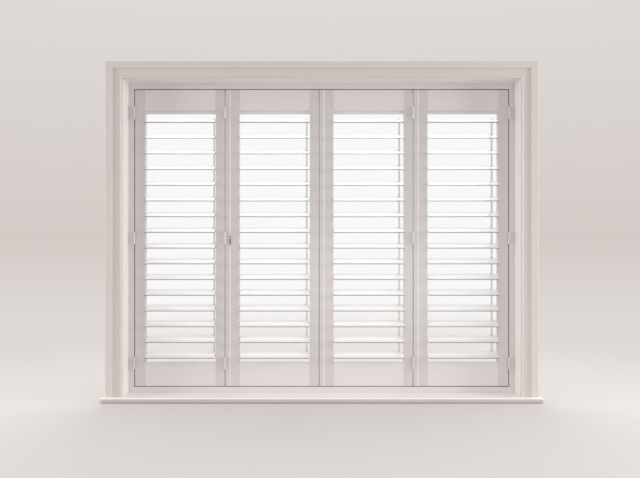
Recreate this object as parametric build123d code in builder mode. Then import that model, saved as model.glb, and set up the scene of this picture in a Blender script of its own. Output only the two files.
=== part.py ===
from build123d import *

import os
from math import cos, radians, sin

# Louvred shutters in a recessed window opening: four hinged leaves in a timber frame, set between
# the lining boards of the opening, with the casing and the window board that finish it to the room.
# X runs to the right as seen from the room, Y towards the window and Z up, all in millimetres.
# The origin is midway along the underside of the window board, in the plane of the wall's face.

# Opening and lining
opening_width = 1622
opening_height = 1297
lining_thickness = 18

# Window board
board_thickness = 22
board_projection = 38
board_horn = 19
board_corner_radius = 12
board_nose_radius = 8

# Casing
casing_width = 68
casing_setback = 3
casing_thickness = 20
casing_flat_thickness = 13
casing_bead_radius = 4
casing_band_width = 27
casing_ramp_width = 3
casing_edge_radius = 2

# Shutter frame and its planted stops
frame_recess = 82
frame_width = 23.5
frame_depth = 50
frame_chamfer = 1.5
stop_projection = 12
stop_clearance = 3
fixing_radius = 2.5
fixing_spacing = 600

# Leaves
leaf_gap = 3
leaf_thickness = 28
edge_stile_width = 44
plain_stile_width = 37
beaded_stile_width = 59
stile_chamfer = 1.2
groove_offset = 20
groove_width = 3
groove_depth = 2
rail_height = 99
rail_setback = 1
rebate_height = 12
rebate_depth = 8

# Louvres
louvre_count = 16
louvre_width = 76
louvre_thickness = 11
louvre_edge_thickness = 2
louvre_tilt = 16
louvre_margin = 31
louvre_end_gap = 1.5
pin_radius = 3
pin_sides = 8
pin_clearance = 0.05
pin_reach = 10
pin_end_clearance = 0.5

# Tilt rods, and the lugs that join them to the louvres
rod_width = 8
rod_thickness = 2.5
rod_inset = 14
rod_standoff = 3
rod_overrun = 6
pivot_distance = 42
lug_thickness = 2.5
lug_height = 5
lug_overrun = 4
lug_clearance = 0.3

# Butt hinges
hinge_height = 50
hinge_inset = 97
knuckle_radius = 5
knuckle_clearance = 0.3
plate_thickness = 1.2
plate_depth = 25

# Planes of the opening
lining_x = opening_width / 2
lining_outer_x = lining_x + lining_thickness
lining_top = board_thickness + opening_height
lining_depth = frame_recess + frame_depth

# Planes of the casing and the board
casing_inner_x = lining_x + casing_setback
casing_inner_z = lining_top + casing_setback
casing_outer_x = casing_inner_x + casing_width
casing_outer_z = casing_inner_z + casing_width
board_end_x = casing_outer_x + board_horn

# Planes of the shutter frame
frame_inner_x = lining_x - frame_width
frame_bottom_z = board_thickness + frame_width
frame_top_z = lining_top - frame_width
leaf_front = frame_recess
leaf_back = leaf_front + leaf_thickness
stop_front = leaf_back + stop_clearance
stop_y = (stop_front + lining_depth) / 2
middle_z = board_thickness + opening_height / 2

# Places of the leaves: each runs from its left stile over the louvres to its right stile
leaf_bottom = frame_bottom_z + leaf_gap
leaf_top = frame_top_z - leaf_gap
stile_widths = [
    (edge_stile_width, plain_stile_width),
    (beaded_stile_width, plain_stile_width),
    (beaded_stile_width, plain_stile_width),
    (beaded_stile_width, edge_stile_width),
]
leaf_count = len(stile_widths)
all_gaps = (leaf_count + 1) * leaf_gap
all_stiles = sum(left + right for left, right in stile_widths)
louvre_run = (2 * frame_inner_x - all_gaps - all_stiles) / leaf_count
leaf_lefts = [leaf_gap - frame_inner_x]
for left, right in stile_widths[:-1]:
    leaf_lefts.append(leaf_lefts[-1] + left + louvre_run + right + leaf_gap)

# Places of the louvres, from the top one down
louvre_axis_y = leaf_front + leaf_thickness / 2
lowest_louvre = leaf_bottom + rail_height + louvre_margin
highest_louvre = leaf_top - rail_height - louvre_margin
louvre_pitch = (highest_louvre - lowest_louvre) / (louvre_count - 1)
louvre_heights = [highest_louvre - place * louvre_pitch for place in range(louvre_count)]

# Places of the hinges
hinge_axis_y = leaf_front - knuckle_clearance - knuckle_radius
hinge_heights = [leaf_top - hinge_inset, middle_z, leaf_bottom + hinge_inset]
knuckle_height = (hinge_height - 2 * knuckle_clearance) / 3

os.makedirs("parts", exist_ok=True)


def write(part, name):
    """Label a finished sub-part and write its STEP file."""
    part.label = name
    export_step(part, f"parts/{name}.step")


def mitre_plane(side, end, x, z):
    """The plane of a mitre at one corner: an upright lies below it, a head or bottom piece above."""
    return Plane(origin=(side * x, 0, z), z_dir=(-side, 0, end))


def casing_section():
    """A casing's section: X runs out from the bead to the raised outer band, Y into the room."""
    band_start = casing_width - casing_band_width
    with BuildSketch() as section:
        with BuildLine():
            Polyline(
                (0, 0),
                (0, casing_flat_thickness),
                (band_start - casing_ramp_width, casing_flat_thickness),
                (band_start, casing_thickness),
                (casing_width, casing_thickness),
                (casing_width, 0),
                close=True,
            )
        make_face()
        with Locations((casing_bead_radius, casing_flat_thickness)):
            Circle(casing_bead_radius)
        fillet(section.vertices().group_by(Axis.X)[-1].sort_by(Axis.Y)[-1], casing_edge_radius)
    return section.sketch


def make_side_casing(side):
    """Make the upright casing on one side, which stands on the board and is mitred at the top."""
    section_plane = Plane(
        origin=(side * casing_inner_x, 0, board_thickness), x_dir=(side, 0, 0), z_dir=(0, 0, -side)
    )
    with BuildPart() as casing:
        with BuildSketch(section_plane):
            add(casing_section())
        extrude(amount=-side * (casing_outer_z - board_thickness))
        split(
            bisect_by=mitre_plane(side, 1, casing_inner_x, casing_inner_z), keep=Keep.BOTTOM
        )
    return casing.part


def make_head_casing():
    """Make the casing over the opening, mitred at both ends."""
    section_plane = Plane(
        origin=(-casing_outer_x, 0, casing_inner_z), x_dir=(0, 0, 1), z_dir=(1, 0, 0)
    )
    with BuildPart() as casing:
        with BuildSketch(section_plane):
            add(casing_section())
        extrude(amount=2 * casing_outer_x)
        for side in (-1, 1):
            split(
                bisect_by=mitre_plane(side, 1, casing_inner_x, casing_inner_z), keep=Keep.TOP
            )
    return casing.part


def make_window_board():
    """Make the board with its horns past the casing and its rounded nose."""
    with BuildPart() as board:
        with BuildSketch():
            with Locations((0, lining_depth / 2)):
                Rectangle(2 * lining_outer_x, lining_depth)
            with Locations((0, -board_projection / 2)):
                Rectangle(2 * board_end_x, board_projection)
        extrude(amount=board_thickness)
        fillet(board.edges().filter_by(Axis.Z).group_by(Axis.Y)[0], board_corner_radius)
        nose_edges = board.edges().filter_by(Axis.Z, reverse=True)
        nose_edges = nose_edges.filter_by_position(
            Axis.Y, -board_projection, 0, inclusive=(True, False)
        )
        fillet(nose_edges, board_nose_radius)
    return board.part


def make_fixing_holes(side):
    """Make the holes for the screws that hold one side of the frame to the wall. The heads lie
    behind the leaf's edge, between the hinges."""
    with BuildPart() as holes:
        with BuildSketch(Plane.YZ.offset(side * frame_inner_x)):
            with Locations((louvre_axis_y, middle_z)):
                with GridLocations(0, fixing_spacing, 1, 2):
                    Circle(fixing_radius)
        extrude(amount=side * (lining_outer_x - frame_inner_x))
    return holes.part


def make_side_lining(side):
    """Make the lining board on one side of the opening, drilled for the frame's fixings."""
    with BuildPart() as lining:
        with BuildSketch(Plane.XY.offset(board_thickness)):
            with Locations((side * (lining_x + lining_thickness / 2), lining_depth / 2)):
                Rectangle(lining_thickness, lining_depth)
        extrude(amount=opening_height)
        add(make_fixing_holes(side), mode=Mode.SUBTRACT)
    return lining.part


def make_head_lining():
    """Make the lining board over the opening, which rests on the side boards."""
    with BuildPart() as lining:
        with BuildSketch(Plane.XY.offset(lining_top)):
            with Locations((0, lining_depth / 2)):
                Rectangle(2 * lining_outer_x, lining_depth)
        extrude(amount=lining_thickness)
    return lining.part


def frame_mitre(side, end):
    """The plane of the frame's mitre on one side, at the top (end 1) or the bottom (end -1)."""
    return mitre_plane(side, end, lining_x, middle_z + end * opening_height / 2)


def cut_upright(blank, side):
    """Mitre both ends of an upright member of the frame."""
    with BuildPart() as upright:
        add(blank)
        for end in (-1, 1):
            split(bisect_by=frame_mitre(side, end), keep=Keep.BOTTOM)
    return upright.part


def cut_crosspiece(blank, end):
    """Mitre both ends of a member of the frame's head or bottom."""
    with BuildPart() as crosspiece:
        add(blank)
        for side in (-1, 1):
            split(bisect_by=frame_mitre(side, end), keep=Keep.TOP)
    return crosspiece.part


def make_frame_side(side):
    """Make one upright of the shutter frame: the face member and the stop planted on it."""
    with BuildPart() as face:
        with BuildSketch(Plane.XY.offset(board_thickness)) as section:
            with Locations((side * (lining_x - frame_width / 2), frame_recess + frame_depth / 2)):
                Rectangle(frame_width, frame_depth)
            front_corners = section.vertices().group_by(Axis.Y)[0]
            chamfer(front_corners.sort_by_distance((0, 0))[0], frame_chamfer)
        extrude(amount=opening_height)
        add(make_fixing_holes(side), mode=Mode.SUBTRACT)
    with BuildPart() as stop:
        with BuildSketch(Plane.XY.offset(board_thickness)):
            with Locations((side * (frame_inner_x - stop_projection / 2), stop_y)):
                Rectangle(stop_projection, lining_depth - stop_front)
        extrude(amount=opening_height)
    return Compound(children=[cut_upright(face.part, side), cut_upright(stop.part, side)])


def make_frame_crosspiece(end):
    """Make the head (end 1) or the bottom (end -1) of the shutter frame, with its planted stop."""
    with BuildPart() as face:
        with BuildSketch(Plane.YZ.offset(-lining_x)) as section:
            face_z = middle_z + end * (opening_height - frame_width) / 2
            with Locations((frame_recess + frame_depth / 2, face_z)):
                Rectangle(frame_depth, frame_width)
            front_corners = section.vertices().group_by(Axis.X)[0]
            chamfer(front_corners.sort_by_distance((0, middle_z))[0], frame_chamfer)
        extrude(amount=2 * lining_x)
    with BuildPart() as stop:
        with BuildSketch(Plane.YZ.offset(-lining_x)):
            stop_z = middle_z + end * (opening_height / 2 - frame_width - stop_projection / 2)
            with Locations((stop_y, stop_z)):
                Rectangle(lining_depth - stop_front, stop_projection)
        extrude(amount=2 * lining_x)
    return Compound(children=[cut_crosspiece(face.part, end), cut_crosspiece(stop.part, end)])


def louvre_span(leaf):
    """The left and right edges of one leaf's louvred opening."""
    left = leaf_lefts[leaf] + stile_widths[leaf][0]
    return left, left + louvre_run


def blade_plane(x, height):
    """The plane across a louvre at x, with its X along the blade from the room to the window."""
    tilt = radians(louvre_tilt)
    return Plane(
        origin=(x, louvre_axis_y, height), x_dir=(0, cos(tilt), sin(tilt)), z_dir=(1, 0, 0)
    )


def make_stiles(leaf, drilled):
    """Make a leaf's two stiles, with the bead groove on a wide one and holes for louvre pins."""
    with BuildPart() as stiles:
        for edge, width in zip((0, 1), stile_widths[leaf]):
            left = leaf_lefts[leaf] if edge == 0 else louvre_span(leaf)[1]
            with BuildSketch(Plane.XY.offset(leaf_bottom)) as section:
                with Locations((left, leaf_front)):
                    Rectangle(width, leaf_thickness, align=(Align.MIN, Align.MIN))
                chamfer(section.vertices().group_by(Axis.Y)[0], stile_chamfer)
                if width == beaded_stile_width:
                    middle = left + groove_offset
                    with BuildLine():
                        Polyline(
                            (middle - groove_width / 2, leaf_front),
                            (middle + groove_width / 2, leaf_front),
                            (middle, leaf_front + groove_depth),
                            close=True,
                        )
                    make_face(mode=Mode.SUBTRACT)
            extrude(amount=leaf_top - leaf_bottom)
        if drilled:
            for direction, edge_x in zip((-1, 1), louvre_span(leaf)):
                with BuildSketch(Plane.YZ.offset(edge_x)):
                    with Locations(*[(louvre_axis_y, height) for height in louvre_heights]):
                        RegularPolygon(pin_radius + pin_clearance, pin_sides, major_radius=False)
                extrude(amount=direction * (pin_reach + pin_end_clearance), mode=Mode.SUBTRACT)
    return stiles.part


def make_rails(leaf):
    """Make a leaf's top and bottom rails, each rebated where the closed louvre beside it lies."""
    left, right = louvre_span(leaf)
    front = leaf_front + rail_setback
    back = leaf_back - rail_setback
    rails = [
        (leaf_top - rail_height, leaf_top - rail_height, front, Align.MIN, Align.MIN),
        (leaf_bottom, leaf_bottom + rail_height, back, Align.MAX, Align.MAX),
    ]
    with BuildPart() as pair:
        for bottom, rebate_edge, rebate_face, across, up in rails:
            with BuildSketch(Plane.YZ.offset(left)):
                with Locations((front, bottom)):
                    Rectangle(back - front, rail_height, align=(Align.MIN, Align.MIN))
                with Locations((rebate_face, rebate_edge)):
                    Rectangle(rebate_depth, rebate_height, align=(across, up), mode=Mode.SUBTRACT)
            extrude(amount=right - left)
    return pair.part


def blade_section():
    """A louvre's lens-shaped section about its axis, with a flat on each edge."""
    half = louvre_width / 2
    edge = louvre_edge_thickness / 2
    crown = louvre_thickness / 2
    with BuildSketch() as section:
        with BuildLine():
            ThreePointArc((-half, -edge), (0, -crown), (half, -edge))
            Line((half, -edge), (half, edge))
            ThreePointArc((half, edge), (0, crown), (-half, edge))
            Line((-half, edge), (-half, -edge))
        make_face()
    return section.sketch


def make_blade(leaf, height, end_gap):
    """Make a louvre's blade, short of each stile by the end gap, with its lug beside the rod."""
    left, right = louvre_span(leaf)
    lug_start = louvre_width / 2
    lug_end = pivot_distance + lug_overrun
    lug_x = right - rod_inset - rod_width / 2 - lug_clearance
    with BuildPart() as blade:
        with BuildSketch(blade_plane(left + end_gap, height)):
            add(blade_section())
        extrude(amount=louvre_run - 2 * end_gap)
        with BuildSketch(blade_plane(lug_x, height)):
            with Locations(((lug_start + lug_end) / 2, 0)):
                Rectangle(lug_end - lug_start, lug_height)
        extrude(amount=-lug_thickness)
    return blade.part


def make_louvre(leaf, height):
    """Make a louvre that turns on the pins at its ends. There are so many pins and holes that
    they are drawn with few sides, and each pin's corners clear its hole's flats."""
    with BuildPart() as louvre:
        add(make_blade(leaf, height, louvre_end_gap))
        for direction, edge_x in zip((-1, 1), louvre_span(leaf)):
            with BuildSketch(blade_plane(edge_x - direction * louvre_end_gap, height)):
                RegularPolygon(pin_radius, pin_sides)
            extrude(amount=direction * (louvre_end_gap + pin_reach))
    return louvre.part


def make_tilt_rod(leaf):
    """Make the upright rod that ties a leaf's louvres together on the window side."""
    tilt = radians(louvre_tilt)
    rod_x = louvre_span(leaf)[1] - rod_inset
    rod_y = louvre_axis_y + pivot_distance * cos(tilt) + rod_standoff
    rod_bottom = lowest_louvre + pivot_distance * sin(tilt) - rod_overrun
    with BuildPart() as rod:
        with BuildSketch(Plane.XY.offset(rod_bottom)):
            with Locations((rod_x, rod_y)):
                Rectangle(rod_width, rod_thickness)
        extrude(amount=highest_louvre - lowest_louvre + 2 * rod_overrun)
    return rod.part


def make_set_louvres(leaf):
    """Make a leaf's whole set of louvres as they stand, from stile to stile, with their tilt rod."""
    with BuildPart() as louvres:
        for height in louvre_heights:
            add(make_blade(leaf, height, 0))
        add(make_tilt_rod(leaf))
    return louvres.part


# The outer two knuckles belong to the half that stays, the middle one to the half that turns
staying_knuckles = (-1, 1)
turning_knuckles = (0,)


def make_hinges(halves):
    """Make the hinge halves that one frame or leaf carries, each given by its seam's axis, the
    side of the axis that its plate lies on, and its knuckles."""
    neck_length = leaf_front - hinge_axis_y
    with BuildPart() as hinges:
        for axis_x, side, knuckles in halves:
            plate_x = axis_x + side * (leaf_gap - plate_thickness) / 2
            for hinge_z in hinge_heights:
                with BuildSketch(Plane.XY.offset(hinge_z - hinge_height / 2)):
                    with Locations((plate_x, leaf_front)):
                        Rectangle(plate_thickness, plate_depth, align=(Align.CENTER, Align.MIN))
                extrude(amount=hinge_height)
                for knuckle in knuckles:
                    centre_z = hinge_z + knuckle * (knuckle_height + knuckle_clearance)
                    with BuildSketch(Plane.XY.offset(centre_z - knuckle_height / 2)):
                        with Locations((axis_x, hinge_axis_y)):
                            Circle(knuckle_radius)
                        with Locations((plate_x, hinge_axis_y)):
                            Rectangle(plate_thickness, neck_length, align=(Align.CENTER, Align.MIN))
                    extrude(amount=knuckle_height)
    return hinges.part


# The seams that fold: between frame and leaf at each side, and between the leaves of each pair
left_jamb_axis = -frame_inner_x + leaf_gap / 2
left_fold_axis = leaf_lefts[1] - leaf_gap / 2
right_fold_axis = leaf_lefts[3] - leaf_gap / 2
right_jamb_axis = frame_inner_x - leaf_gap / 2

frame_halves = [
    (left_jamb_axis, -1, staying_knuckles),
    (right_jamb_axis, 1, staying_knuckles),
]
leaf_halves = [
    [(left_jamb_axis, 1, turning_knuckles), (left_fold_axis, -1, staying_knuckles)],
    [(left_fold_axis, 1, turning_knuckles)],
    [(right_fold_axis, -1, turning_knuckles)],
    [(right_jamb_axis, -1, turning_knuckles), (right_fold_axis, 1, staying_knuckles)],
]

write(make_window_board(), "window_board")
write(make_head_casing(), "casing_head")
write(make_side_casing(-1), "casing_left")
write(make_side_casing(1), "casing_right")
write(make_head_lining(), "lining_head")
write(make_side_lining(-1), "lining_left")
write(make_side_lining(1), "lining_right")
write(make_frame_crosspiece(1), "frame_head")
write(make_frame_crosspiece(-1), "frame_bottom")
write(make_frame_side(-1), "frame_left")
write(make_frame_side(1), "frame_right")
write(make_hinges(frame_halves), "frame_hinges")

# The louvres of the left pair of leaves each turn by themselves, those of the right pair are set
for leaf in range(leaf_count):
    turning = leaf < 2
    name = f"leaf_{leaf + 1}"
    write(make_stiles(leaf, drilled=turning), f"{name}_stiles")
    write(make_rails(leaf), f"{name}_rails")
    write(make_hinges(leaf_halves[leaf]), f"{name}_hinges")
    if turning:
        for place, height in enumerate(louvre_heights, start=1):
            write(make_louvre(leaf, height), f"{name}_louvre_{place:02d}")
        write(make_tilt_rod(leaf), f"{name}_tilt_rod")
    else:
        write(make_set_louvres(leaf), f"{name}_louvres")
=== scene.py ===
# %% [markdown]
# These are louvred shutters: four hinged leaves in a frame, set back in a lined opening, with a
# moulded casing and a window board. They could be modelled here from nothing, but the CAD model
# already has the true sizes and places, so this script loads its solids and gives them their
# softened arrises, their paint and their small fittings.

# %% Frame
import math

import bmesh
import bpy
from mathutils import Matrix, Vector


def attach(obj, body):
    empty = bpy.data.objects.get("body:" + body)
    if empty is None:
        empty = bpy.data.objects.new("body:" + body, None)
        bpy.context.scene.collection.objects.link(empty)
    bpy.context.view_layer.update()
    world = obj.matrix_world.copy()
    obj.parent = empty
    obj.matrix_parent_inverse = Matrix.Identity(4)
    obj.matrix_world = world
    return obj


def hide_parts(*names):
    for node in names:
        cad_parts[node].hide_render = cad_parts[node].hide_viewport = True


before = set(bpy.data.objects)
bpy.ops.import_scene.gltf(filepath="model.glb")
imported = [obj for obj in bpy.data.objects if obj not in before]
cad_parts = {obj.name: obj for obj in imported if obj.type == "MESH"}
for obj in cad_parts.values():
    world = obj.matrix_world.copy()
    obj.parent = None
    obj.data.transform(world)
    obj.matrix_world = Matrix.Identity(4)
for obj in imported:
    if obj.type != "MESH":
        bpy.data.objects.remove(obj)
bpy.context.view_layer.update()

# %% [markdown]
# A material is a small network of nodes. Written one node at a time it is hard to read, so this
# class wraps a socket: sums and products of signals add Math nodes by themselves, and every other
# node comes from one method. The kinds that are used again and again have a short method each. A
# Mix node has the same names for its number and colour sockets, so the colours go by number.

# %% Signals
MIX_FIRST, MIX_SECOND, MIX_RESULT = 6, 7, 2


class Signal:
    """A socket in a material's node tree."""

    def __init__(self, tree, socket=None):
        self.tree = tree
        self.socket = socket

    def node(self, kind, settings, inputs, output=0):
        """Add a node, set it up, feed its inputs from values or signals, and give one output."""
        node = self.tree.nodes.new(kind)
        for name, value in settings.items():
            setattr(node, name, value)
        for name, value in inputs.items():
            if isinstance(value, Signal):
                self.tree.links.new(value.socket, node.inputs[name])
            else:
                node.inputs[name].default_value = value
        return Signal(self.tree, node.outputs[output])

    def maths(self, operation, first, second):
        """Add a Math node on two numbers or signals."""
        return self.node("ShaderNodeMath", {"operation": operation}, {0: first, 1: second})

    def __add__(self, other):
        return self.maths("ADD", self, other)

    def __sub__(self, other):
        return self.maths("SUBTRACT", self, other)

    def __mul__(self, other):
        return self.maths("MULTIPLY", self, other)

    def __rsub__(self, other):
        return self.maths("SUBTRACT", other, self)

    def __abs__(self):
        return self.node("ShaderNodeMath", {"operation": "ABSOLUTE"}, {0: self})

    __radd__ = __add__
    __rmul__ = __mul__

    def clamped(self):
        """Keep the signal between nought and one."""
        return self.node("ShaderNodeClamp", {}, {"Value": self})

    def ramp(self, none, full):
        """Rise from nought to one as the signal goes from one limit to the other."""
        return ((self - none) * (1 / (full - none))).clamped()

    def blend(self, first, second):
        """Mix two colours by this signal. Each is three numbers or a signal."""
        inputs = {"Factor": self}
        for socket, colour in ((MIX_FIRST, first), (MIX_SECOND, second)):
            inputs[socket] = colour if isinstance(colour, Signal) else (*colour, 1.0)
        return self.node("ShaderNodeMix", {"data_type": "RGBA"}, inputs, MIX_RESULT)

    def coordinate(self, axis):
        """Give the X, Y or Z of this place."""
        return self.node("ShaderNodeSeparateXYZ", {}, {"Vector": self}, axis)

    def scaled(self, scale):
        """Scale this place, each axis by its own number."""
        return self.node("ShaderNodeMapping", {}, {"Vector": self, "Scale": scale})

    def noise(self, scale, detail):
        """Read a noise at this place."""
        inputs = {"Vector": self, "Scale": scale, "Detail": detail}
        return self.node("ShaderNodeTexNoise", {}, inputs)

    def relief(self, strength, distance):
        """Turn this height into a bump."""
        inputs = {"Strength": strength, "Distance": distance, "Height": self}
        return self.node("ShaderNodeBump", {}, inputs)

    def into(self, shader, name):
        """Link this signal to one of a shader's sockets."""
        self.tree.links.new(self.socket, shader.inputs[name])


print("a signal can", [name for name in vars(Signal) if not name.startswith("_")])

# %% [markdown]
# Every material here starts in the same way, with a Principled shader and the place on the piece.
# The place could be read from a UV map, but the boards and the turned parts have none, so it comes
# from the Object coordinates: metres from the origin, which every piece keeps when it moves.

# %% Materials
def new_material(name):
    """Make a material, and give it with its Principled shader and the place on the piece."""
    material = bpy.data.materials.new(name)
    material.use_nodes = True
    shader = material.node_tree.nodes["Principled BSDF"]
    place = Signal(material.node_tree).node("ShaderNodeTexCoord", {}, {}, "Object")
    return material, shader, place


def dimmed(tone, share):
    """Give a share of a colour's light."""
    return [share * part for part in tone]


print("materials of the CAD model", [material.name for material in bpy.data.materials])

# %% [markdown]
# The joinery has a satin paint laid on by brush. Close to, it shows long shallow strokes along
# each board, a fine orange peel and the faintest change of tone where the coat is thicker. All of
# it could be one noise, but strokes have a direction, so the noise is stretched along the board
# before it is read. Boards that run up and boards that run across get a material each.

# %% Satin paint
STROKE_WIDTH = 0.0016
STROKE_LENGTH = 0.16
PEEL_SIZE = 0.0009
CLOUD_SIZE = 0.22
THICK_COAT = 0.955
CLOUD_SHARE, STROKE_SHARE = 0.7, 0.3
CLOUD_DULLING, STROKE_DULLING = 0.08, 0.10
PEEL_HEIGHT = 0.5
PAINT_STRENGTH, PAINT_RELIEF = 0.55, 0.00003
CLEAR_COAT, CLEAR_COAT_ROUGHNESS = 0.5, 0.2
SATIN, SMOOTHER, SMOOTHEST = 0.42, 0.36, 0.34
ACROSS, UPRIGHT = 0, 2


def satin_paint(name, tone, along, roughness=SATIN, where=None, there=None):
    """Brushed satin paint, with its strokes along X or Z, and another tone where a mask says so."""
    material, shader, place = new_material(name)
    stretch = [1 / STROKE_WIDTH] * 3
    stretch[along] = 1 / STROKE_LENGTH
    strokes = place.scaled(stretch).noise(scale=1.0, detail=2.0)
    peel = place.noise(scale=1 / PEEL_SIZE, detail=1.0)
    cloud = place.noise(scale=1 / CLOUD_SIZE, detail=3.0)
    shade = cloud * CLOUD_SHARE + strokes * STROKE_SHARE
    colour = shade.blend(tone, dimmed(tone, THICK_COAT))
    if where:
        colour = where(place).blend(colour, there)
    colour.into(shader, "Base Color")
    dulling = strokes * STROKE_DULLING + cloud * CLOUD_DULLING
    middle = (STROKE_DULLING + CLOUD_DULLING) / 2
    (dulling + (roughness - middle)).into(shader, "Roughness")
    height = strokes + peel * PEEL_HEIGHT
    height.relief(PAINT_STRENGTH, PAINT_RELIEF).into(shader, "Normal")
    shader.inputs["Coat Weight"].default_value = CLEAR_COAT
    shader.inputs["Coat Roughness"].default_value = CLEAR_COAT_ROUGHNESS
    return material


print("a stroke is", round(STROKE_LENGTH / STROKE_WIDTH), "times as long as it is wide")

# %% [markdown]
# Four places differ from the rest. The room edges of the louvres are painted dark, as painted shade
# on the lower half of each rounded nose, which draws the thin dark line along each one. The moulded
# grooves of the leaves have a painted highlight, a whiter line where their edges would catch the
# light. The rounded nose of the window board is painted darker and warmer than its top, as painted
# shade on a face turned away from the light above.
# The outsides of the upright lining boards have only primer. A map painted by hand would do it too,
# but all four lie where a plane or a line can find them, so each has a mask that reads the place.

# %% Masks
EDGE_PLANE, EDGE_FADE = 0.0606, 0.0009
GROOVES = (-0.3845, 0.0105, 0.4055)
GROOVE_HALF, GROOVE_FADE = 0.0021, 0.0006
NOSE_TOP, NOSE_FADE = 0.0195, 0.0025
OUTSIDE, OUTSIDE_FADE = 0.8282, 0.0005


def shaded_louvre_edges(place):
    """Mark the louvres' room edges, in front of the plane they share, for their painted shade."""
    return place.coordinate("Y").ramp(EDGE_PLANE, EDGE_PLANE - EDGE_FADE)


def groove_highlights(place):
    """Mark the upright grooves in the faces of the leaves, for their painted highlight."""
    across = place.coordinate("X")
    left, middle, right = [
        abs(across - groove).ramp(GROOVE_HALF, GROOVE_HALF - GROOVE_FADE) for groove in GROOVES
    ]
    return left + middle + right


def shaded_board_nose(place):
    """Mark the rounded nose of the window board, under its top, for its painted shade."""
    return place.coordinate("Z").ramp(NOSE_TOP, NOSE_TOP - NOSE_FADE)


def lining_outsides(place):
    """Mark the outsides of the upright lining boards."""
    return abs(place.coordinate("X")).ramp(OUTSIDE, OUTSIDE + OUTSIDE_FADE)


print("grooves to mark", len(GROOVES))

# %% [markdown]
# White joinery is never one white. The louvres and the upright linings are the cleanest, the casing
# is the warmest, and the rest lies between. Some tones are also painted light: the upright linings
# are lighter than the head lining, which faces down, the frame's cross pieces are lighter than its
# uprights, and the rails are lighter than the stiles, all for how the light falls on them. One
# paint with a mask for every board would do it too, but masks are longer than tones, so each kind
# of board has a tone and a short call of its own.

# %% Paints
CASING_TONE = (0.705, 0.642, 0.617)
# painted light: the upright linings are lighter than the head lining, which faces down
LINING_TONE = (0.960, 0.952, 0.945)
HEAD_LINING_TONE = (0.870, 0.825, 0.808)
PRIMER_TONE = (0.500, 0.470, 0.455)
FRAME_TONE = (0.680, 0.640, 0.622)
# painted light: the frame's cross pieces are lighter than its uprights
FRAME_ACROSS_TONE = (0.760, 0.715, 0.698)
STILE_TONE = (0.664, 0.622, 0.612)
# painted light: the rails are lighter than the stiles of the same leaf
RAIL_TONE = (0.775, 0.738, 0.730)
# painted highlight for the grooves in the leaves' faces
GROOVE_HIGHLIGHT = (0.96, 0.92, 0.90)
LOUVRE_TONE = (0.860, 0.850, 0.845)
# painted shade for the louvres' room edges
LOUVRE_EDGE_SHADE = (0.115, 0.111, 0.112)
# painted light: the board's top is light, as it faces up into the light, and its nose is shaded
BOARD_TONE = (0.930, 0.900, 0.890)
NOSE_SHADE = (0.565, 0.508, 0.488)

casing_up = satin_paint("casing_paint_upright", CASING_TONE, UPRIGHT)
casing_across = satin_paint("casing_paint_across", CASING_TONE, ACROSS)
lining_up = satin_paint(
    "lining_paint_upright", LINING_TONE, UPRIGHT, SMOOTHER, lining_outsides, PRIMER_TONE
)
lining_across = satin_paint("lining_paint_across", HEAD_LINING_TONE, ACROSS, SMOOTHER)
frame_up = satin_paint("frame_paint_upright", FRAME_TONE, UPRIGHT)
frame_across = satin_paint("frame_paint_across", FRAME_ACROSS_TONE, ACROSS)
board_across = satin_paint(
    "board_paint_across", BOARD_TONE, ACROSS, SMOOTHEST, shaded_board_nose, NOSE_SHADE
)
stile_up = satin_paint(
    "stile_paint_upright", STILE_TONE, UPRIGHT, SATIN, groove_highlights, GROOVE_HIGHLIGHT
)
rail_across = satin_paint("rail_paint_across", RAIL_TONE, ACROSS)
louvre_across = satin_paint(
    "louvre_paint_across", LOUVRE_TONE, ACROSS, SMOOTHER, shaded_louvre_edges, LOUVRE_EDGE_SHADE
)
print("materials with the paints", len(bpy.data.materials))

# %% [markdown]
# The hinges and the tilt rods are metal under a thin enamel of nearly the same white. It flows out
# smoother than brushed paint, so it has only a broad waviness and a sharper gloss. The rods' pins
# and the fixing screws are bare bright metal, with fine turning marks, and the catch is dark
# bronze. The satin paint could be bent to all of these, but two short networks are easier to read.

# %% Metals
FLOW_SCALE, THIN_COAT = 260.0, 0.93
ENAMEL_ROUGHNESS, FLOW_DULLING = 0.22, 0.12
FLOW_STRENGTH, FLOW_RELIEF = 0.3, 0.00006
MARK_SCALE, DULL_METAL, MARK_DULLING = 900.0, 0.8, 0.2
HINGE_TONE = (0.70, 0.655, 0.64)
ROD_TONE = (0.93, 0.925, 0.92)
BRIGHT_TONE, BRIGHT_ROUGHNESS = (0.72, 0.71, 0.69), 0.25
BRONZE_TONE, BRONZE_ROUGHNESS = (0.16, 0.14, 0.13), 0.35


def enamel(name, tone):
    """Smooth sprayed enamel on metal."""
    material, shader, place = new_material(name)
    flow = place.noise(scale=FLOW_SCALE, detail=1.0)
    flow.blend(tone, dimmed(tone, THIN_COAT)).into(shader, "Base Color")
    (flow * FLOW_DULLING + ENAMEL_ROUGHNESS).into(shader, "Roughness")
    flow.relief(FLOW_STRENGTH, FLOW_RELIEF).into(shader, "Normal")
    return material


def bare_metal(name, tone, roughness):
    """Metal with fine marks from turning and handling."""
    material, shader, place = new_material(name)
    shader.inputs["Metallic"].default_value = 1.0
    marks = place.noise(scale=MARK_SCALE, detail=2.0)
    marks.blend(tone, dimmed(tone, DULL_METAL)).into(shader, "Base Color")
    (marks * MARK_DULLING + roughness).into(shader, "Roughness")
    return material


hinge_enamel = enamel("hinge_enamel", HINGE_TONE)
rod_enamel = enamel("rod_enamel", ROD_TONE)
bright_metal = bare_metal("bright_metal", BRIGHT_TONE, BRIGHT_ROUGHNESS)
catch_bronze = bare_metal("catch_bronze", BRONZE_TONE, BRONZE_ROUGHNESS)
print("metals", [hinge_enamel.name, rod_enamel.name, bright_metal.name, catch_bronze.name])

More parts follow.
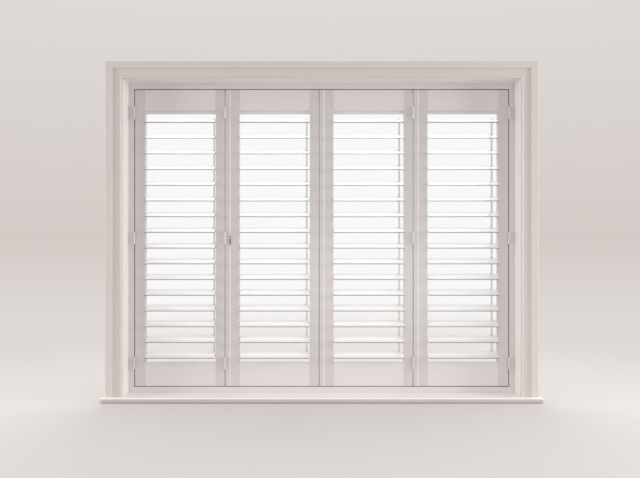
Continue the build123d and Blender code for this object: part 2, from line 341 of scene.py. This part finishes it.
# %% [markdown]
# Every piece ends in the same way too. Its shape becomes a mesh with a paint, and it is told which
# body carries it. It could be shaded flat, but then each facet of a curve would show, so it is
# shaded smooth up to a sharp edge. A Weighted Normal modifier keeps the broad faces flat beside the
# narrow bevels.

# %% Finishing
SHARP = math.radians(32)


def finish_piece(shape, name, body, material):
    """Turn a bmesh into a named piece with its paint, riding on its body."""
    mesh = bpy.data.meshes.new(name)
    shape.to_mesh(mesh)
    shape.free()
    mesh.materials.append(material)
    mesh.shade_smooth()
    mesh.set_sharp_from_angle(angle=SHARP)
    piece = bpy.data.objects.new(name, mesh)
    bpy.context.scene.collection.objects.link(piece)
    weighted = piece.modifiers.new("broad faces", "WEIGHTED_NORMAL")
    weighted.keep_sharp = True
    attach(piece, body)
    return piece


print("an edge is sharp from", round(math.degrees(SHARP)), "degrees")

# %% [markdown]
# Planed boards never keep a knife edge: sanding and paint round it to half a millimetre or more,
# and that thin line of light is what makes a board look like a board. A Bevel modifier could do
# it, but it would round the short edges of every hole too, so the edges are picked by length and
# by angle. The CAD solids arrive as loose triangles, so a copy is merged and its flat faces are
# joined first.

# %% Softening
MERGE = 1e-6
FLAT = math.radians(1)
LONG_EDGE = 0.012


def ease(shape, edges, radius):
    """Round some edges of a shape."""
    bmesh.ops.bevel(
        shape,
        geom=edges,
        offset=radius,
        offset_type="OFFSET",
        segments=2,
        profile=0.5,
        affect="EDGES",
        clamp_overlap=True,
        material=-1,
    )


def soften(node, body, material, radius, shortest=LONG_EDGE):
    """Stand a copy in a CAD node's place, with its arrises rounded, and give how many they are."""
    shape = bmesh.new()
    shape.from_mesh(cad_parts[node].data)
    bmesh.ops.remove_doubles(shape, verts=shape.verts, dist=MERGE)
    bmesh.ops.dissolve_limit(shape, angle_limit=FLAT, verts=shape.verts, edges=shape.edges)
    arrises = [
        edge
        for edge in shape.edges
        if len(edge.link_faces) == 2
        and edge.calc_length() > shortest
        and edge.calc_face_angle() > SHARP
    ]
    count = len(arrises)
    ease(shape, arrises, radius)
    piece = finish_piece(shape, node + "_soft", body, material)
    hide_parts(node)
    return count


print("an edge is long from", LONG_EDGE)

# %% [markdown]
# The casing, the linings, the frame and the window board are the boards that stay put. Each could
# have a cell of its own, but all are dressed alike, so one loop does them. The list says only which
# paint each has: a length that stands has upright strokes, and one that lies has strokes across.

# %% Boards
BOARD_ARRIS = 0.0006
# The frame's cross pieces and the upright linings also have lighter tones, as painted light.
BOARDS = {
    "casing_left": casing_up,
    "casing_right": casing_up,
    "casing_head": casing_across,
    "lining_left": lining_up,
    "lining_right": lining_up,
    "lining_head": lining_across,
    "frame_left": frame_up,
    "frame_right": frame_up,
    "frame_head": frame_across,
    "frame_bottom": frame_across,
    "window_board": board_across,
}
for node, paint in BOARDS.items():
    count = soften(node, "frame", paint, BOARD_ARRIS)
    print(node, "rounded edges", count)

# %% [markdown]
# A leaf is two stiles and two rails, glued and then painted as one, so the joints show only as
# hairlines where the thinner rails meet the stiles. The paint could be one for the whole leaf, but
# brush strokes follow the wood, so the stiles and the rails stay apart and have a paint each. The
# rails' tone is also lighter than the stiles', as painted light.

# %% Leaves
LEAF_ARRIS = 0.0005
LEAVES = (1, 2, 3, 4)
for leaf in LEAVES:
    body = f"leaf_{leaf}"
    stile_count = soften(f"{body}_stiles", body, stile_up, LEAF_ARRIS)
    rail_count = soften(f"{body}_rails", body, rail_across, LEAF_ARRIS)
    print(body, "rounded edges", stile_count + rail_count)

# %% [markdown]
# The louvres are lens-shaped blades with narrow edges. Their broad faces could be drawn again with
# finer curves, but the CAD's facets are small, so they are only shaded smooth, and the edges and
# ends stay crisp. The louvres of the left two leaves turn, each on its own body, and those of the
# right two stand as one set in a leaf.

# %% Louvres
LOUVRE_ARRIS = 0.0005
ROD_ARRIS = 0.0004
LOUVRE_COUNT = 16
TURNING_LEAVES = (1, 2)
for leaf in LEAVES:
    body = f"leaf_{leaf}"
    if leaf in TURNING_LEAVES:
        for number in range(1, LOUVRE_COUNT + 1):
            louvre = f"{body}_louvre_{number:02d}"
            soften(louvre, louvre, louvre_across, LOUVRE_ARRIS)
        rod = f"{body}_tilt_rod"
        soften(rod, rod, rod_enamel, ROD_ARRIS)
        print(body, "louvres on bodies of their own", LOUVRE_COUNT)
    else:
        count = soften(f"{body}_louvres", body, louvre_across, LOUVRE_ARRIS)
        print(body, "rounded edges of its louvres", count)

# %% [markdown]
# Three butt hinges carry each leaf, on the frame or on the leaf beside it. They could have the
# boards' rule, where only long edges are rounded, but they are small and round, so every edge of
# theirs is eased.

# %% Hinges
HINGE_ARRIS = 0.00035
for body in ["frame"] + [f"leaf_{leaf}" for leaf in LEAVES]:
    count = soften(f"{body}_hinges", body, hinge_enamel, HINGE_ARRIS, shortest=0)
    print(body, "eased edges of its hinges", count)

# %% [markdown]
# Round fittings could be cylinders and spheres pushed together, but a turner makes them from one
# outline, and so does this helper. Half of the outline is drawn as a few points, each with its
# place along the axis and its radius, and spun once round it. Spinning leaves a double row of
# points where it ends and a heap of them at each pole, so both are merged before the faces are
# turned outwards.

# %% Turning
MM_PER_METRE = 1000
TURN_STEPS = 14
X_AXIS = Vector((1, 0, 0))
Y_AXIS = Vector((0, 1, 0))
Z_AXIS = Vector((0, 0, 1))


def turn(shape, outline, centre, axis, steps=TURN_STEPS):
    """Spin an outline of (along, radius) points in millimetres round an axis through a centre."""
    centre = Vector(centre)
    points = [
        shape.verts.new(centre + axis * along / MM_PER_METRE + Y_AXIS * radius / MM_PER_METRE)
        for along, radius in outline
    ]
    lines = [shape.edges.new(pair) for pair in zip(points, points[1:])]
    bmesh.ops.spin(
        shape,
        geom=points + lines,
        cent=centre,
        axis=axis,
        angle=math.tau,
        steps=steps,
        use_merge=True,
        use_duplicate=False,
    )


def close(shape):
    """Merge a turned shape's doubles and point its faces outwards."""
    bmesh.ops.remove_doubles(shape, verts=shape.verts, dist=MERGE)
    bmesh.ops.recalc_face_normals(shape, faces=shape.faces)


print("a round fitting has", TURN_STEPS, "sides")

# %% [markdown]
# Tabs and bars are boxes with rounded edges. A Bevel modifier could round them, but it would round
# the turned pins in the same mesh too, so each box is rounded as soon as it is added.

# %% Rounded boxes
def block(shape, low, high, radius):
    """Add a box between two corners, in metres, with its edges rounded."""
    low, high = Vector(low), Vector(high)
    place = Matrix.Translation((low + high) / 2) @ Matrix.Diagonal((*(high - low), 1))
    corners = set(bmesh.ops.create_cube(shape, size=1, matrix=place)["verts"])
    edges = [edge for edge in shape.edges if edge.verts[0] in corners]
    ease(shape, edges, radius)


# %% [markdown]
# Behind each leaf a flat rod ties the louvres together. At every louvre a tab on the rod holds a
# pin that passes through the louvre's lug, and the lug turns on it. One pin could be made and
# copied, but turning it afresh at each height is as short, and keeps its true place in the mesh.
# The pins stand where the louvres' pivots are, so a lug keeps its hold through the whole tilt.

# %% Rod pins
LOUVRE_PITCH = 0.0656
TOP_LOUVRE = 1.1625
PIVOT_RISE = 0.01158
PIVOT_DEPTH = 0.13637
ROD_FACE = 0.13812
ROD_PLACES = (-0.4585, -0.0635, 0.3315, 0.7265)
LUG_OUTSIDE = -0.0068
PIN_STEPS = 10
PIN_OUTLINE = [
    (-1.1, 0), (-0.9, 1.1), (-0.4, 1.7), (0, 1.8), (0, 1.0), (8.6, 1.0), (8.9, 0.7), (8.9, 0),
]
TAB_LEFT, TAB_RIGHT = -0.0034, 0.0014
TAB_FRONT, TAB_BITE = 0.0014, 0.0004
TAB_HALF_HEIGHT = 0.0018
TAB_ROUNDING = 0.0003
pin_heights = [TOP_LOUVRE - LOUVRE_PITCH * number + PIVOT_RISE for number in range(LOUVRE_COUNT)]
for leaf, rod_place in zip(LEAVES, ROD_PLACES):
    shape = bmesh.new()
    for height in pin_heights:
        turn(shape, PIN_OUTLINE, (rod_place + LUG_OUTSIDE, PIVOT_DEPTH, height), X_AXIS, PIN_STEPS)
    close(shape)
    for height in pin_heights:
        low = (rod_place + TAB_LEFT, PIVOT_DEPTH - TAB_FRONT, height - TAB_HALF_HEIGHT)
        high = (rod_place + TAB_RIGHT, ROD_FACE + TAB_BITE, height + TAB_HALF_HEIGHT)
        block(shape, low, high, TAB_ROUNDING)
    body = f"leaf_{leaf}_tilt_rod" if leaf in TURNING_LEAVES else f"leaf_{leaf}"
    finish_piece(shape, f"leaf_{leaf}_rod_pins", body, bright_metal)
    print(body, "rod pins", len(pin_heights))

# %% [markdown]
# Each hinge pin is headed at the top and at the bottom with a low button, wider than the pin and a
# little narrower than the knuckle, and painted with it. A flattened sphere would do from afar, but
# an outline gives it the narrow upright rim that a turned button has.

# %% Hinge pin buttons
HINGE_AXES = {"frame": (-0.786, 0.786), "leaf_1": (-0.406,), "leaf_4": (0.384,)}
HINGE_DEPTH = 0.0767
HINGE_HEIGHTS = (0.1455, 0.6705, 1.1955)
HINGE_HALF = 0.025
BUTTON_OUTLINE = [(-0.6, 0), (-0.6, 3.4), (0.2, 4.2), (0.7, 4.2), (1.6, 3.4), (2.2, 1.9), (2.4, 0)]
for body, axes in HINGE_AXES.items():
    shape = bmesh.new()
    for across in axes:
        for height in HINGE_HEIGHTS:
            for side in (-1, 1):
                centre = (across, HINGE_DEPTH, height + side * HINGE_HALF)
                turn(shape, BUTTON_OUTLINE, centre, side * Z_AXIS)
    close(shape)
    finish_piece(shape, f"{body}_hinge_buttons", body, hinge_enamel)
    print(body, "hinges headed", len(axes) * len(HINGE_HEIGHTS))

# %% [markdown]
# Two screws a side hold the frame in its lining. Their heads lie behind the hinged edges of the
# outer leaves. A thread could be cut too, but it is deep in the wood, so the shank is plain, and
# the head is a low dome with a driver's socket.

# %% Fixing screws
SCREW_PLACE = 0.7875
SCREW_DEPTH = 0.096
SCREW_HEIGHTS = (0.3705, 0.9705)
SCREW_OUTLINE = [
    (-1.0, 0), (-1.0, 1.3), (0.5, 1.5), (0.6, 1.9), (0.4, 3.3), (0, 4.3), (-0.3, 4.3), (-0.3, 2.3),
    (-39.0, 2.3), (-40.5, 1.2), (-40.5, 0),
]
shape = bmesh.new()
for side in (-1, 1):
    for height in SCREW_HEIGHTS:
        turn(shape, SCREW_OUTLINE, (side * SCREW_PLACE, SCREW_DEPTH, height), -side * X_AXIS)
close(shape)
finish_piece(shape, "frame_fixing_screws", "frame", bright_metal)
print("fixing screws a side", len(SCREW_HEIGHTS))

# %% [markdown]
# A small dark catch sits in the moulded edge of the second leaf: a slim bar with a knob above it.
# The knob could be drawn lying down, but the helper's outlines stand out along Y and so can't be
# spun round it. It is turned upright instead, and then laid over towards the room.

# %% Catch
CATCH_PLACE = -0.3845
LEAF_FACE = 0.082
KNOB_HEIGHT = 0.6765
KNOB_OUTLINE = [(-0.8, 0), (-0.8, 1.5), (1.6, 1.5), (2.2, 2.2), (3.0, 2.3), (3.6, 1.5), (3.8, 0)]
BAR_HALF_WIDTH = 0.0018
BAR_PROUD, BAR_BITE = 0.0028, 0.0022
BAR_FOOT, BAR_HEAD = 0.641, 0.668
BAR_ROUNDING = 0.0007
shape = bmesh.new()
turn(shape, KNOB_OUTLINE, (0, 0, 0), Z_AXIS)
close(shape)
laid_over = Matrix.Rotation(math.radians(90), 4, "X")
seated = Matrix.Translation((CATCH_PLACE, LEAF_FACE, KNOB_HEIGHT)) @ laid_over
bmesh.ops.transform(shape, matrix=seated, verts=shape.verts)
bar_low = (CATCH_PLACE - BAR_HALF_WIDTH, LEAF_FACE - BAR_PROUD, BAR_FOOT)
bar_high = (CATCH_PLACE + BAR_HALF_WIDTH, LEAF_FACE + BAR_BITE, BAR_HEAD)
block(shape, bar_low, bar_high, BAR_ROUNDING)
catch = finish_piece(shape, "leaf_2_catch", "leaf_2", catch_bronze)
print("catch faces", len(catch.data.polygons))

# %% [markdown]
# In the seam where the middle leaves meet lies a strip of short pile, which keeps the light out and
# bends when a leaf passes it. Thousands of hairs would be the true way, but the seam is only three
# millimetres wide, so a slim block is enough, with a noise drawn out across it for the tufts.
# Between the tufts the noise darkens the pile, as painted shade.

# %% Seal
PILE_TONE = (0.42, 0.40, 0.39)
TUFT_SCALE = (300.0, 300.0, 2500.0)
# painted shade between the tufts of the pile
PILE_GAP_SHADE = 0.6
PILE_ROUGHNESS = 0.95
PILE_STRENGTH, PILE_RELIEF = 0.8, 0.0003
SEAL_LOW = (-0.01205, 0.086, 0.0515)
SEAL_HIGH = (-0.0094, 0.091, 1.2895)
SEAL_ROUNDING = 0.0006


def pile(name, tone):
    """Short dense pile, ribbed across the strip, with painted shade between the ribs."""
    material, shader, place = new_material(name)
    tufts = place.scaled(TUFT_SCALE).noise(scale=1.0, detail=2.0)
    tufts.blend(dimmed(tone, PILE_GAP_SHADE), tone).into(shader, "Base Color")
    shader.inputs["Roughness"].default_value = PILE_ROUGHNESS
    tufts.relief(PILE_STRENGTH, PILE_RELIEF).into(shader, "Normal")
    return material


shape = bmesh.new()
block(shape, SEAL_LOW, SEAL_HIGH, SEAL_ROUNDING)
seal_pile = pile("seal_pile", PILE_TONE)
seal = finish_piece(shape, "leaf_3_meeting_seal", "leaf_3", seal_pile)
print("seal faces", len(seal.data.polygons))

# %% [markdown]
# A pale studio floor carries the frame. A floor that ended would draw a horizon behind the
# shutters, so this one fades out within a few metres, with a smooth start and end to the fade.

# %% Floor
FLOOR_SIZE = 24
FLOOR_TONE, FLOOR_ROUGHNESS = (0.66, 0.635, 0.620), 0.9
FADE_FROM, FADE_TO = 0.5, 2.9
shape = bmesh.new()
bmesh.ops.create_grid(shape, x_segments=1, y_segments=1, size=FLOOR_SIZE / 2)
floor_mesh = bpy.data.meshes.new("floor")
shape.to_mesh(floor_mesh)
shape.free()
floor = bpy.data.objects.new("floor", floor_mesh)
bpy.context.scene.collection.objects.link(floor)
floor_paint, shader, place = new_material("floor_pale")
shader.inputs["Base Color"].default_value = (*FLOOR_TONE, 1.0)
shader.inputs["Roughness"].default_value = FLOOR_ROUGHNESS
reach = place.node("ShaderNodeVectorMath", {"operation": "LENGTH"}, {0: place}, "Value")
kept = reach.ramp(FADE_TO, FADE_FROM)
(kept * kept * (3 - 2 * kept)).into(shader, "Alpha")
floor_mesh.materials.append(floor_paint)
print("floor fades out at", FADE_TO)

# %% [markdown]
# The sky of the studio is brighter behind the shutters than in front, brightest overhead, and paler
# again behind them below the horizon, where the floor has faded. Behind them it also has a glow as
# wide and high as the leaves, which makes the gaps between the louvres shine. A bright panel could
# do that too, but it would stand in the way of every view from behind. The limits are parts of a
# heading whose length is one.

# %% Sky
SKY_FRONT = (0.42, 0.413, 0.408)
SKY_BEHIND = (0.650, 0.597, 0.568)
SKY_ABOVE = (0.98, 0.97, 0.96)
SKY_LOW = (0.740, 0.695, 0.668)
SKY_GLOW = (0.945, 0.945, 0.945)
FRONT_TO_BEHIND = (-0.3889, 0.7222)
LOW_EDGE = (0.0, -0.10)
LOW_BEHIND = (0.0, 0.5)
GLOW_SIDES = (0.270, 0.222)
GLOW_TOP = (0.212, 0.158)
GLOW_FOOT = (-0.168, -0.078)
world = bpy.data.worlds.new("studio")
world.use_nodes = True
heading = Signal(world.node_tree).node("ShaderNodeTexCoord", {}, {}, "Generated")
sideways = heading.coordinate("X")
forward = heading.coordinate("Y")
upward = heading.coordinate("Z")
haze = upward.ramp(*LOW_EDGE) * forward.ramp(*LOW_BEHIND)
glow = abs(sideways).ramp(*GLOW_SIDES) * upward.ramp(*GLOW_TOP) * upward.ramp(*GLOW_FOOT)
sky = forward.ramp(*FRONT_TO_BEHIND).blend(SKY_FRONT, SKY_BEHIND)
sky = upward.clamped().blend(sky, SKY_ABOVE)
sky = haze.blend(sky, SKY_LOW)
sky = (glow * forward.clamped()).blend(sky, SKY_GLOW)
sky.into(world.node_tree.nodes["Background"], "Color")
bpy.context.scene.world = world
bpy.context.scene.view_settings.view_transform = "Standard"
print("sky nodes", len(world.node_tree.nodes))

# %% [markdown]
# Four soft lights do the rest. One far out at each side reaches into the reveals, a low one in
# front lifts the rails, and the high daylight behind fills the tops of the louvres. Point lights
# would be simpler, but their shadows are hard, so each is a rectangle a metre or more wide.

# %% Lights
MIDDLE, BELOW_MIDDLE = (0, 0.05, 0.67), (0, 0.05, 0.5)
SIDE_SIZE, LOW_SIZE, HIGH_SIZE = (1.2, 1.6), (1.6, 0.6), (2.6, 0.8)


def soft_light(name, place, aim, size, power, colour):
    """A rectangular soft light at a place, turned towards a point."""
    light = bpy.data.lights.new(name, "AREA")
    light.shape = "RECTANGLE"
    light.size, light.size_y = size
    light.energy = power
    light.color = colour
    lamp = bpy.data.objects.new(name, light)
    lamp.location = place
    lamp.rotation_euler = (Vector(aim) - Vector(place)).to_track_quat("-Z", "Y").to_euler()
    lamp.visible_camera = False
    bpy.context.scene.collection.objects.link(lamp)
    print(name, "watts", power)


soft_light("right_light", (3.4, -0.75, 1.1), MIDDLE, SIDE_SIZE, 58, (1.0, 0.985, 0.98))
soft_light("left_light", (-3.4, -0.75, 1.1), MIDDLE, SIDE_SIZE, 46, (1.0, 0.98, 0.97))
soft_light("low_light", (0.4, -2.6, 0.35), BELOW_MIDDLE, LOW_SIZE, 11, (1.0, 0.98, 0.965))
soft_light("daylight", (0.0, 1.7, 2.6), MIDDLE, HIGH_SIZE, 26, (0.985, 0.99, 1.0))

# %% [markdown]
# The camera looks from where the photo was taken, square to the frame and level with the middle of
# the leaves. Its lens could be tried out by eye, but it follows from two numbers: how many pixels
# wide the picture is, and how far away, in pixels, the picture plane lies.

# %% Camera
CAMERA_PLACE = (-0.007, -3.135, 0.666)
FOCAL_PIXELS = 766
IMAGE_WIDTH = 640
camera_data = bpy.data.cameras.new("camera")
camera_data.lens = camera_data.sensor_width * FOCAL_PIXELS / IMAGE_WIDTH
camera = bpy.data.objects.new("camera", camera_data)
camera.location = CAMERA_PLACE
camera.rotation_euler = (math.radians(90), 0, 0)
bpy.context.scene.collection.objects.link(camera)
bpy.context.scene.camera = camera
print("lens", round(camera_data.lens, 2))

# %% [markdown]
